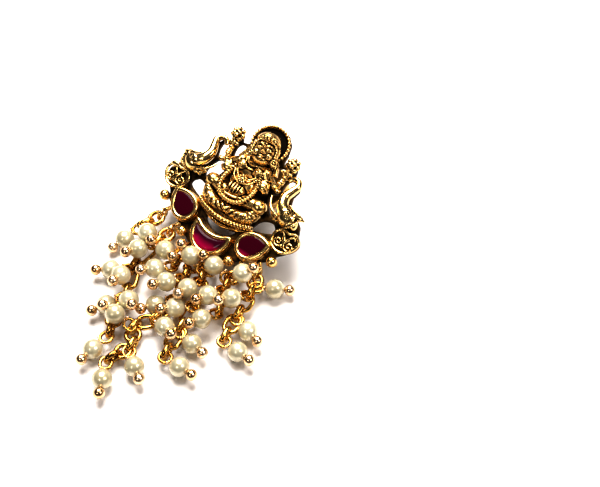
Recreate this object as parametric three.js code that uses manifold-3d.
// Chandbali earring lying on a table: a cast antique-gold top with three ruby stones,
// and a fringe of pearl drops on seven short chains. Millimetres, +Z up.
import * as THREE from "three";
import { mergeVertices } from "three/addons/utils/BufferGeometryUtils.js";
import Module from "manifold-3d";

const wasm = await Module();
wasm.setup();

// Pose of the cast top: its lower edge is near the table and the ear nut props up its upper half
const TOP_TILT = THREE.MathUtils.degToRad(26);
const TOP_HEIGHT = 3.2;

// Cast sheet and what is soldered on it, depths measured out of the sheet's back
const SHEET_THICKNESS = 1.0;
const BEZEL_WALL = 0.5;
const BEZEL_HEIGHT = 2.6;
const STONE_GAP = 0.12;
const STONE_RISE = 2.75;
const GRANULE_RADIUS = 0.95;

// Stones: a crescent of two arcs below, a pear on each side
const CRESCENT_RADIUS = 4.05;
const CRESCENT_HORN = { x: 3.75, y: 1.5 };
const CRESCENT_SAG = 0.05;
const PEAR_CENTRE = { x: 8.05, y: 1.93 };
const PEAR_LENGTH = 6.6;
const PEAR_WIDTH = 5.1;
const PEAR_TURN = THREE.MathUtils.degToRad(32);

// Fringe: loops on the cast edge, links, head pins and pearls
const LOOP_RADIUS = 1.05;
const LOOP_WIRE = 0.36;
const LINK_LENGTH = 3.3;
const LINK_WIDTH = 2.7;
const LINK_WIRE = 0.42;
const RING_WIRE = 0.26;
const RING_WIDTH = 2.9;
const STEM_RADIUS = 0.26;
const PEARL_RADIUS = 1.75;
const PEARL_HOLE = 0.5;
const BALL_RADIUS = 1.0;
const PIN_REACH = 3.6;
const BITE = 0.24;
const BALL_REACH = PEARL_RADIUS + 0.92 * BALL_RADIUS;

// Ear post: a plain pin with a round flat nut
const POST_AT = { x: 0, y: 13 };
const POST_RADIUS = 0.6;
const NUT_RADIUS = 4.5;
const NUT_THICKNESS = 2.4;

// Detail smaller than this is merged away after parts are joined
const SMALLEST = 0.04;

const ROUND_SIDES = 10;
const WIRE_SIDES = 5;

// Turns a three.js geometry into a manifold solid
function solid(geometry) {
  const bare = geometry.index ? geometry.toNonIndexed() : geometry.clone();
  bare.deleteAttribute("normal");
  bare.deleteAttribute("uv");
  const merged = mergeVertices(bare, 1e-4);
  return new wasm.Manifold(
    new wasm.Mesh({
      numProp: 3,
      vertProperties: merged.attributes.position.array,
      triVerts: new Uint32Array(merged.index.array),
    }),
  );
}

// Turns a manifold solid into a named mesh
function meshOf(name, body, material) {
  const made = body.getMesh();
  const geometry = new THREE.BufferGeometry();
  geometry.setAttribute("position", new THREE.BufferAttribute(made.vertProperties, 3));
  geometry.setIndex(new THREE.BufferAttribute(made.triVerts, 1));
  geometry.computeVertexNormals();
  const mesh = new THREE.Mesh(geometry, material);
  mesh.name = name;
  return mesh;
}

// Joins a list of solids into one
const joined = (solids) => wasm.Manifold.union(solids);
const tidied = (body) => body.simplify(SMALLEST);

// A rounded lump: an ellipsoid with three half sizes, turned about the sheet's normal
function lump(x, y, z, rx, ry, rz, turn = 0, around = 8, along = 5) {
  const geometry = new THREE.SphereGeometry(1, around, along);
  geometry.rotateX(Math.PI / 2);
  geometry.scale(rx, ry, rz);
  geometry.rotateZ(turn);
  geometry.translate(x, y, z);
  return solid(geometry);
}

// A round bar along a smooth curve through points, with flat ends
function bar(points, radius, steps = 6, sides = 5) {
  const curve = new THREE.CatmullRomCurve3(points.map((p) => new THREE.Vector3(...p)));
  const section = new THREE.Shape();
  for (let i = 0; i < sides; i++) {
    const angle = (i / sides) * 2 * Math.PI;
    const at = [radius * Math.cos(angle), radius * Math.sin(angle)];
    i ? section.lineTo(...at) : section.moveTo(...at);
  }
  section.closePath();
  return solid(
    new THREE.ExtrudeGeometry(section, { steps, extrudePath: curve, bevelEnabled: false }),
  );
}

// A flat shape raised between two heights
function slab(shape, bottom, top, curveSegments = 6) {
  const geometry = new THREE.ExtrudeGeometry(shape, {
    depth: top - bottom,
    bevelEnabled: false,
    curveSegments,
  });
  geometry.translate(0, 0, bottom);
  return solid(geometry);
}

// A round disc with its axis along the sheet's normal
function disc(x, y, bottom, top, radius, sides = 16, topRadius = radius) {
  const geometry = new THREE.CylinderGeometry(topRadius, radius, top - bottom, sides);
  geometry.rotateX(Math.PI / 2);
  geometry.translate(x, y, (bottom + top) / 2);
  return solid(geometry);
}

// The same solid on both sides of the middle line
const both = (build) => [build(1), build(-1)];

// Pear outline on its own axis, tip towards +x, smaller than the full size by an inset
function pearShape(inset) {
  const length = PEAR_LENGTH - 2 * inset;
  const radius = PEAR_WIDTH / 2 - inset;
  const round = -length / 2 + radius;
  const tip = length / 2;
  const shape = new THREE.Shape();
  shape.moveTo(tip, 0);
  shape.quadraticCurveTo(round + 0.62 * (tip - round), radius * 0.98, round, radius);
  shape.absarc(round, 0, radius, Math.PI / 2, (3 * Math.PI) / 2, false);
  shape.quadraticCurveTo(round + 0.62 * (tip - round), -radius * 0.98, tip, 0);
  return shape;
}

// Crescent outline between the round lower edge and the hollow upper edge, both moved in by an inset
function crescentShape(inset) {
  const rise = CRESCENT_HORN.y - CRESCENT_SAG;
  const hollow = (CRESCENT_HORN.x ** 2 + rise ** 2) / (2 * rise);
  const centre = CRESCENT_SAG + hollow;
  const outer = CRESCENT_RADIUS - inset;
  const inner = hollow + inset;
  const hornY = (outer ** 2 - inner ** 2 + centre ** 2) / (2 * centre);
  const hornX = Math.sqrt(outer ** 2 - hornY ** 2);
  const horn = Math.atan2(hornY, hornX);
  const dip = Math.atan2(hornY - centre, hornX);
  const shape = new THREE.Shape();
  shape.absarc(0, 0, outer, -Math.PI - horn, horn, false);
  shape.absarc(0, centre, inner, dip, -Math.PI - dip, true);
  return shape;
}

// Places a pear outline's solid on one side of the top
function placePear(body, side) {
  const turned = body.rotate([0, 0, THREE.MathUtils.radToDeg(PEAR_TURN)]);
  const placed = turned.translate([PEAR_CENTRE.x, PEAR_CENTRE.y, 0]);
  return side > 0 ? placed : placed.mirror([1, 0, 0]);
}

// Pierced sheet: half outline from the bottom up the right side, then mirrored
function sheet() {
  const half = [
    [0, -4.9],
    [5.4, -3.6],
    [9.4, -2.2],
    [12.6, 0.2],
    [13.4, 2.4],
    [14.9, 4.6],
    [15.1, 7.0],
    [14.0, 10.7],
    [11.8, 11.6],
    [10.0, 12.3],
    [9.6, 13.6],
    [10.3, 15.4],
    [9.4, 17.2],
    [7.7, 17.4],
    [7.7, 18.8],
    [6.3, 20.2],
    [4.6, 18.2],
    [3.9, 18.4],
    [4.0, 20.2],
    [3.5, 22.2],
    [2.0, 23.7],
    [0, 24.2],
  ];
  const outline = new THREE.Shape();
  half.forEach(([x, y], i) => (i ? outline.lineTo(x, y) : outline.moveTo(x, y)));
  half
    .slice(1, -1)
    .reverse()
    .forEach(([x, y]) => outline.lineTo(-x, y));
  outline.closePath();
  const plate = slab(outline, 0, SHEET_THICKNESS);
  const gaps = [
    [[5.0, 3.2], [5.7, 5.6], [8.6, 6.6], [9.2, 5.2], [6.4, 4.5]],
    [[6.0, 9.8], [5.2, 11.7], [6.2, 12.4], [7.4, 11.9], [7.7, 8.9]],
    [[6.9, 13.7], [7.0, 15.4], [7.8, 16.0], [8.3, 15.4], [7.7, 13.4]],
    [[4.0, 14.6], [4.3, 17.0], [5.3, 17.0], [5.0, 14.6]],
  ];
  const cutters = gaps.flatMap((points) =>
    both((side) => {
      const ring = points.map(([x, y]) => [side * x, y]);
      if (THREE.ShapeUtils.area(ring.map(([x, y]) => ({ x, y }))) < 0) ring.reverse();
      const hole = new THREE.Shape(ring.map(([x, y]) => new THREE.Vector2(x, y)));
      return slab(hole, -1, SHEET_THICKNESS + 1);
    }),
  );
  const window = new THREE.Shape();
  window.moveTo(-3.4, 2.3);
  window.quadraticCurveTo(0, -1.1, 3.4, 2.3);
  window.quadraticCurveTo(0, 3.0, -3.4, 2.3);
  cutters.push(slab(window, -1, SHEET_THICKNESS + 1));
  return plate.subtract(joined(cutters));
}

// Bezels: a thick wall round each stone's place
function bezels() {
  const wall = (shape) => slab(shape(0), 0, BEZEL_HEIGHT, 5).subtract(
    slab(shape(BEZEL_WALL), SHEET_THICKNESS, BEZEL_HEIGHT + 1, 5),
  );
  const pear = wall(pearShape);
  return [placePear(pear, 1), placePear(pear, -1), wall(crescentShape)];
}

// Seated figure: crossed legs, round belly, raised and lowered arms, head with tall crown
function figure() {
  const limbs = both((side) =>
    joined([
      lump(side * 4.6, 8.0, 2.2, 1.9, 1.9, 1.9, 0, 8, 4),
      lump(side * 2.9, 6.0, 2.2, 3.4, 1.6, 1.7, -side * 0.35, 8, 4),
      bar([[side * 2.6, 15.1, 2.2], [side * 4.9, 13.2, 2.2], [side * 5.4, 14.4, 2.0]], 0.85, 4),
      bar([[side * 2.6, 14.6, 2.6], [side * 4.3, 12.2, 2.8], [side * 3.2, 11.0, 3.2]], 0.8, 4),
      lump(side * 1.5, 13.8, 2.8, 1.2, 1.2, 1.2, 0, 6, 4),
    ]),
  );
  return [
    ...limbs,
    lump(0, 9.4, 2.4, 2.7, 2.4, 2.2, 0, 10, 5),
    lump(0, 13.2, 2.0, 3.2, 2.9, 1.6, 0, 8, 4),
    lump(0, 17.8, 3.0, 1.7, 1.95, 1.9, 0, 10, 5),
    lump(0, 20.5, 2.2, 1.5, 2.4, 1.4, 0, 8, 4),
    disc(0, 11.4, 3.2, 4.9, 0.85, 8, 0.6),
  ];
}

// Halo: a disc with a raised scalloped rim
function halo() {
  const lobes = 15;
  const rim = new THREE.Shape();
  for (let i = 0; i < 2 * lobes; i++) {
    const angle = (i / (2 * lobes)) * 2 * Math.PI;
    const radius = i % 2 ? 4.05 : 3.7;
    const at = [radius * Math.cos(angle), 20.2 + radius * Math.sin(angle)];
    i ? rim.lineTo(...at) : rim.moveTo(...at);
  }
  rim.closePath();
  const raised = slab(rim, 0.2, 1.9).subtract(disc(0, 20.2, 1.2, 3, 3.0, 16));
  return [raised];
}

// Pedestal: a thick band bowed to the crescent, its lower edge scalloped like a row of beads
function pedestal() {
  const lobes = 9;
  const half = 5.4;
  const bow = (x, y) => [x, y + 0.045 * x * x];
  const band = new THREE.Shape();
  band.moveTo(...bow(-half, 4.0));
  for (let i = 0; i <= 2 * lobes; i++) {
    const x = half * (i / lobes - 1);
    band.lineTo(...bow(x, i % 2 ? 2.05 : 2.45));
  }
  [half, half / 2, 0, -half / 2].forEach((x) => band.lineTo(...bow(x, 4.0)));
  band.closePath();
  return [slab(band, 0.4, 2.9)];
}

// Elephant in profile facing inwards, with a raised trunk, tusk and pointed ear
function elephant(side) {
  const trunk = [
    [side * 9.6, 10.2, 2.4],
    [side * 8.7, 11.8, 2.6],
    [side * 8.7, 13.6, 2.4],
    [side * 9.4, 15.4, 2.1],
    [side * 8.9, 16.6, 1.9],
    [side * 7.4, 16.8, 1.7],
  ];
  const tusk = [
    [side * 9.0, 9.2, 3.0],
    [side * 7.4, 9.9, 3.0],
    [side * 6.2, 11.7, 2.7],
  ];
  return joined([
    lump(side * 11.0, 9.9, 2.2, 2.2, 2.5, 1.8, -side * 0.35, 8, 5),
    bar(trunk, 0.85, 6),
    bar(tusk, 0.36, 3, 4),
    lump(side * 12.8, 9.4, 2.6, 1.1, 2.0, 1.1, side * 0.35, 8, 4),
  ]);
}

// Scroll medallion below the elephant: a round plate with a raised rim and two leaf lobes
function medallion(side) {
  const at = [side * 12.4, 5.6];
  const rim = disc(...at, 0.1, 1.8, 2.6, 12).subtract(disc(...at, 1.2, 3, 2.1, 12));
  return joined([
    rim,
    lump(at[0] + 0.85, at[1] + 0.1, 1.2, 0.75, 1.4, 0.75, 0.4, 6, 4),
    lump(at[0] - 0.85, at[1] + 0.1, 1.2, 0.75, 1.4, 0.75, -0.4, 6, 4),
  ]);
}

// Lotus: a berry of lobes in two tiers on a ringed stalk rising from the hand
function lotus(side) {
  const tier = (radius, lobes, low, high) => {
    const shape = new THREE.Shape();
    for (let i = 0; i < 2 * lobes; i++) {
      const angle = (i / (2 * lobes)) * 2 * Math.PI;
      const out = i % 2 ? radius : 0.76 * radius;
      const at = [side * 6.3 + out * Math.cos(angle), 18.8 + out * Math.sin(angle)];
      i ? shape.lineTo(...at) : shape.moveTo(...at);
    }
    shape.closePath();
    return slab(shape, low, high);
  };
  const ring = lump(side * 6.1, 16.4, 1.6, 0.75, 0.5, 0.85, 0, 6, 4);
  const stalk = bar([[side * 6.3, 18.6, 1.5], [side * 6.0, 16, 1.5], [side * 5.3, 13.6, 1.8]], 0.5, 2, 5);
  return joined([
    tier(1.6, 6, 0.4, 2.3),
    lump(side * 6.3, 18.8, 2.2, 0.95, 0.95, 0.85, 0, 6, 4),
    ring,
    stalk,
  ]);
}

// Hanging loops along the lower edge, each standing across the edge: place in the sheet
const LOOPS = [
  { name: "strand_1", x: -11.2, y: -1.9 },
  { name: "strand_2", x: -7.8, y: -3.5 },
  { name: "strand_3", x: -3.3, y: -4.9 },
  { name: "strand_4", x: 0, y: -5.5 },
  { name: "strand_5", x: 3.3, y: -4.9 },
  { name: "strand_6", x: 7.8, y: -3.5 },
  { name: "strand_7", x: 11.2, y: -1.9 },
];

// One hanging loop
function loop({ x, y }) {
  const ring = new THREE.TorusGeometry(LOOP_RADIUS, LOOP_WIRE, 4, 8);
  ring.rotateY(Math.PI / 2);
  ring.translate(x, y, SHEET_THICKNESS / 2);
  return solid(ring);
}

// Whole cast body
function castBody() {
  const granules = [
    [12.5, 1.37],
    [5.5, -2.55],
  ].flatMap(([x, y]) =>
    both((side) => lump(side * x, y, 1.3, GRANULE_RADIUS, GRANULE_RADIUS, GRANULE_RADIUS, 0, 8, 4)),
  );
  return joined([
    sheet(),
    ...bezels(),
    ...figure(),
    ...halo(),
    ...pedestal(),
    ...both(elephant),
    ...both(medallion),
    ...both(lotus),
    ...granules,
    ...LOOPS.map(loop),
  ]);
}

// Cut stone: a flat table on a faceted slope that stands in its bezel
function stone(shape) {
  const bottom = SHEET_THICKNESS + STONE_GAP;
  const girdle = slab(shape(BEZEL_WALL + STONE_GAP), bottom, BEZEL_HEIGHT - 0.3, 4);
  const table = slab(shape(BEZEL_WALL + STONE_GAP + 0.55), BEZEL_HEIGHT - 0.35, STONE_RISE, 4);
  return girdle.add(table).hull();
}

// Crescent stone: two levels joined, since a hull would fill its hollow
function crescentStone() {
  const bottom = SHEET_THICKNESS + STONE_GAP;
  const levels = [
    [0, bottom, 2.3],
    [0.25, 2.2, 2.55],
    [0.5, 2.45, STONE_RISE],
  ];
  return joined(
    levels.map(([inset, low, high]) => slab(crescentShape(BEZEL_WALL + STONE_GAP + inset), low, high, 5)),
  );
}

// Ear post with its nut, behind the sheet
function earPost() {
  const reach = (TOP_HEIGHT + (POST_AT.y - NUT_RADIUS) * Math.sin(TOP_TILT)) / Math.cos(TOP_TILT);
  const post = disc(POST_AT.x, POST_AT.y, -reach + 0.5, -STONE_GAP, POST_RADIUS, 8);
  const nut = disc(POST_AT.x, POST_AT.y, -reach, -reach + NUT_THICKNESS, NUT_RADIUS, 24);
  return post.add(nut);
}

// Chains: thick link centres from the loop outwards, then drops as link number, heading and pitch in degrees
const CHAINS = {
  strand_1: {
    links: [[-12.3, -5.2, 2.4]],
    drops: [
      { pearl: 1, link: 1, heading: -105, pitch: -9 },
      { pearl: 2, link: 1, heading: -30, pitch: 22 },
    ],
  },
  strand_2: {
    links: [
      [-7.8, -6.8, 2.4],
      [-8.4, -12.8, 1.5],
      [-5.6, -17.8, 1.5],
      [-4.4, -21.6, 1.5],
      [-2.6, -25.3, 1.5],
    ],
    drops: [
      { pearl: 3, link: 1, heading: -15, pitch: 20 },
      { pearl: 4, link: 1, heading: -105, pitch: 26 },
      { pearl: 8, link: 2, heading: -140, pitch: 4 },
      { pearl: 9, link: 2, heading: -78, pitch: 32 },
      { pearl: 20, link: 3, heading: -114, pitch: 4 },
      { pearl: 16, link: 3, heading: -27, pitch: 38 },
      { pearl: 26, link: 5, heading: -92, pitch: 4 },
    ],
  },
  strand_3: {
    links: [[-2.3, -8.4, 2.4]],
    drops: [{ pearl: 7, link: 1, heading: -118, pitch: 24 }],
  },
  strand_4: {
    links: [
      [0.9, -9.2, 2.5],
      [2.2, -12.8, 1.5],
      [2.4, -18.6, 1.5],
      [0.3, -22.4, 1.5],
      [2.4, -25.2, 1.5],
      [1.4, -29.0, 1.5],
    ],
    drops: [
      { pearl: 10, link: 1, heading: -112, pitch: 24 },
      { pearl: 17, link: 2, heading: -122, pitch: 6 },
      { pearl: 21, link: 3, heading: -18, pitch: 22 },
      { pearl: 19, link: 4, heading: -168, pitch: 33 },
      { pearl: 28, link: 5, heading: -30, pitch: 4 },
      { pearl: 27, link: 6, heading: -57, pitch: 4 },
    ],
  },
  strand_5: {
    links: [
      [3.4, -7.8, 2.3],
      [5.8, -12.2, 1.5],
      [6.8, -17.4, 1.5],
      [8.0, -22.6, 1.5],
    ],
    drops: [
      { pearl: 5, link: 1, heading: 175, pitch: 32 },
      { pearl: 11, link: 1, heading: -88, pitch: 28 },
      { pearl: 18, link: 2, heading: -125, pitch: 22 },
      { pearl: 23, link: 3, heading: -8, pitch: 4 },
      { pearl: 29, link: 4, heading: 0, pitch: 4 },
    ],
  },
  strand_6: {
    links: [
      [8.2, -6.8, 2.6],
      [9.8, -10.8, 1.5],
    ],
    drops: [
      { pearl: 6, link: 1, heading: 178, pitch: 26 },
      { pearl: 12, link: 1, heading: -105, pitch: 24 },
      { pearl: 14, link: 1, heading: 36, pitch: 42 },
      { pearl: 22, link: 2, heading: -105, pitch: 25 },
    ],
  },
  strand_7: {
    links: [
      [12.4, -5.1, 2.4],
      [13.0, -9.4, 1.5],
      [14.0, -14.2, 1.5],
    ],
    drops: [
      { pearl: 15, link: 1, heading: 34, pitch: -5 },
      { pearl: 13, link: 1, heading: -115, pitch: 26 },
      { pearl: 24, link: 2, heading: -14, pitch: 4 },
      { pearl: 25, link: 3, heading: -4, pitch: 4 },
    ],
  },
};

const UP = new THREE.Vector3(0, 0, 1);

// An oval ring of wire: centre, long direction, normal, centre-line half length and half width
function ovalRing(centre, along, normal, halfLength, halfWidth, wire) {
  const ring = new THREE.TorusGeometry(1, 0.5, WIRE_SIDES, ROUND_SIDES);
  const across = new THREE.Vector3().crossVectors(normal, along);
  const place = ring.attributes.position;
  const point = new THREE.Vector3();
  for (let i = 0; i < place.count; i++) {
    point.fromBufferAttribute(place, i);
    const angle = Math.atan2(point.y, point.x);
    const out = ((Math.hypot(point.x, point.y) - 1) / 0.5) * wire;
    const lift = (point.z / 0.5) * wire;
    const u = Math.cos(angle) * (halfLength + out);
    const v = Math.sin(angle) * (halfWidth + out);
    point.copy(centre).addScaledVector(along, u).addScaledVector(across, v).addScaledVector(normal, lift);
    place.setXYZ(i, point.x, point.y, point.z);
  }
  return solid(ring);
}

// A solid built along +Z, turned to a direction and moved to a point
function aimed(geometry, at, direction) {
  const turn = new THREE.Quaternion().setFromUnitVectors(UP, direction);
  geometry.applyQuaternion(turn);
  geometry.translate(at.x, at.y, at.z);
  return solid(geometry);
}

// Where a hanging loop's hole ends up on the table
function loopCentre({ x, y }) {
  const z = SHEET_THICKNESS / 2;
  const sin = Math.sin(TOP_TILT);
  const cos = Math.cos(TOP_TILT);
  return new THREE.Vector3(x, y * cos - z * sin, TOP_HEIGHT + y * sin + z * cos);
}

// Level direction of the chain at each link
function linkDirections(stops) {
  return stops.slice(1).map((stop, i) => {
    const next = stops[i + 2] ?? stop;
    const direction = next.clone().sub(stops[i]);
    direction.z = 0;
    return direction.normalize();
  });
}

const LINK_HALF = LINK_LENGTH / 2 - LINK_WIRE;
const LINK_RISE = LINK_WIDTH / 2 - LINK_WIRE;
const RING_GRIP = LINK_HALF - LINK_WIRE - RING_WIRE + BITE;

// A drop's place: the link's point furthest that way, the pin's direction and the pearl's centre
function dropPlace(link, direction, { heading, pitch }) {
  const turn = THREE.MathUtils.degToRad(heading);
  const tip = THREE.MathUtils.degToRad(pitch);
  const pin = new THREE.Vector3(
    Math.cos(tip) * Math.cos(turn),
    Math.cos(tip) * Math.sin(turn),
    Math.sin(tip),
  );
  const u = LINK_HALF * pin.dot(direction);
  const v = LINK_RISE * pin.z;
  const size = Math.hypot(u, v);
  const hang = link
    .clone()
    .addScaledVector(direction, (LINK_HALF * u) / size)
    .addScaledVector(UP, (LINK_RISE * v) / size);
  return { pin, hang, pearl: hang.clone().addScaledVector(pin, PIN_REACH) };
}

// Head pin: straight stem from the link, ending in a ball tip
function headPin({ pin, hang, pearl }) {
  const length = PIN_REACH + BALL_REACH;
  const start = Math.asin(STEM_RADIUS / BALL_RADIUS);
  const profile = [new THREE.Vector2(0, 0), new THREE.Vector2(STEM_RADIUS, 0)];
  const steps = 4;
  for (let i = 0; i <= steps; i++) {
    const angle = start + ((Math.PI - start) * i) / steps;
    const radius = i < steps ? BALL_RADIUS * Math.sin(angle) : 0;
    profile.push(new THREE.Vector2(radius, length - BALL_RADIUS * Math.cos(angle)));
  }
  const pinBody = new THREE.LatheGeometry(profile, ROUND_SIDES);
  pinBody.rotateX(Math.PI / 2);
  return aimed(pinBody, hang, pin);
}

// Drilled pearl: a lathed ball with a straight hole
function pearlBody({ pin, pearl }) {
  const start = Math.asin(PEARL_HOLE / PEARL_RADIUS);
  const profile = [];
  const steps = 4;
  for (let i = 0; i <= steps; i++) {
    const angle = start + ((Math.PI - 2 * start) * i) / steps;
    profile.push(new THREE.Vector2(PEARL_RADIUS * Math.sin(angle), -PEARL_RADIUS * Math.cos(angle)));
  }
  profile.push(profile[0].clone());
  const ball = new THREE.LatheGeometry(profile, ROUND_SIDES);
  ball.rotateX(Math.PI / 2);
  return aimed(ball, pearl, pin);
}

// Flat ring that hangs the first link from its loop, clear of the loop's wire
function firstRing(loopAt, link, direction) {
  const to = link.clone().addScaledVector(direction, -RING_GRIP);
  const along = to.clone().sub(loopAt);
  const half = along.length() / 2;
  along.normalize();
  const flat = UP.clone().addScaledVector(along, -along.z).normalize();
  const middle = loopAt.clone().add(to).multiplyScalar(0.5);
  return ovalRing(middle, along, flat, half, RING_WIDTH / 2 - RING_WIRE, RING_WIRE);
}

// One strand with its pearls
function strand(place) {
  const { links, drops } = CHAINS[place.name];
  const stops = [loopCentre(place), ...links.map((p) => new THREE.Vector3(...p))];
  const directions = linkDirections(stops);
  const solids = [];
  const pearls = [];
  directions.forEach((direction, i) => {
    const centre = stops[i + 1];
    const side = new THREE.Vector3().crossVectors(UP, direction);
    solids.push(ovalRing(centre, direction, side, LINK_HALF, LINK_RISE, LINK_WIRE));
    if (i === 0) {
      solids.push(firstRing(stops[0], centre, direction));
      return;
    }
    const from = stops[i].clone().addScaledVector(directions[i - 1], LINK_HALF);
    const to = centre.clone().addScaledVector(direction, -LINK_HALF);
    const along = to.clone().sub(from);
    const rod = new THREE.CylinderGeometry(RING_WIRE, RING_WIRE, along.length(), WIRE_SIDES);
    rod.rotateX(Math.PI / 2);
    const middle = from.clone().add(to).multiplyScalar(0.5);
    solids.push(aimed(rod, middle, along.normalize()));
  });
  drops.forEach((drop) => {
    const at = dropPlace(stops[drop.link], directions[drop.link - 1], drop);
    solids.push(headPin(at));
    pearls.push({ name: "pearl_" + String(drop.pearl).padStart(2, "0"), body: pearlBody(at) });
  });
  return { body: tidied(joined(solids)), pearls };
}

// Materials
const antiqueGold = () => new THREE.MeshStandardMaterial({ color: 0xb8862f, roughness: 0.38, metalness: 1 });
const roseGold = () => new THREE.MeshStandardMaterial({ color: 0xd9a05b, roughness: 0.15, metalness: 1 });
const ruby = () => new THREE.MeshStandardMaterial({ color: 0x4a0a20, roughness: 0.08, metalness: 0 });
const pearlCream = () => new THREE.MeshStandardMaterial({ color: 0xd8cfa0, roughness: 0.25, metalness: 0 });

// Scene graph: the tilted top, then the fringe lying on the table
const earring = new THREE.Group();
const top = new THREE.Group();
top.rotation.x = TOP_TILT;
top.position.z = TOP_HEIGHT;
top.add(meshOf("cast_body", tidied(castBody()), antiqueGold()));
const pearStone = stone(pearShape);
top.add(meshOf("ruby_pear_left", placePear(pearStone, -1), ruby()));
top.add(meshOf("ruby_pear_right", placePear(pearStone, 1), ruby()));
top.add(meshOf("ruby_crescent", crescentStone(), ruby()));
top.add(meshOf("ear_post", earPost(), antiqueGold()));
earring.add(top);
LOOPS.forEach((place) => {
  const { body, pearls } = strand(place);
  earring.add(meshOf(place.name, body, roseGold()));
  pearls.forEach((pearl) => earring.add(meshOf(pearl.name, pearl.body, pearlCream())));
});

// Origin: the middle of the underside
earring.updateMatrixWorld(true);
const box = new THREE.Box3().setFromObject(earring, true);
const middle = box.getCenter(new THREE.Vector3());
earring.children.forEach((child) => child.position.add(new THREE.Vector3(-middle.x, -middle.y, -box.min.z)));

export default earring;
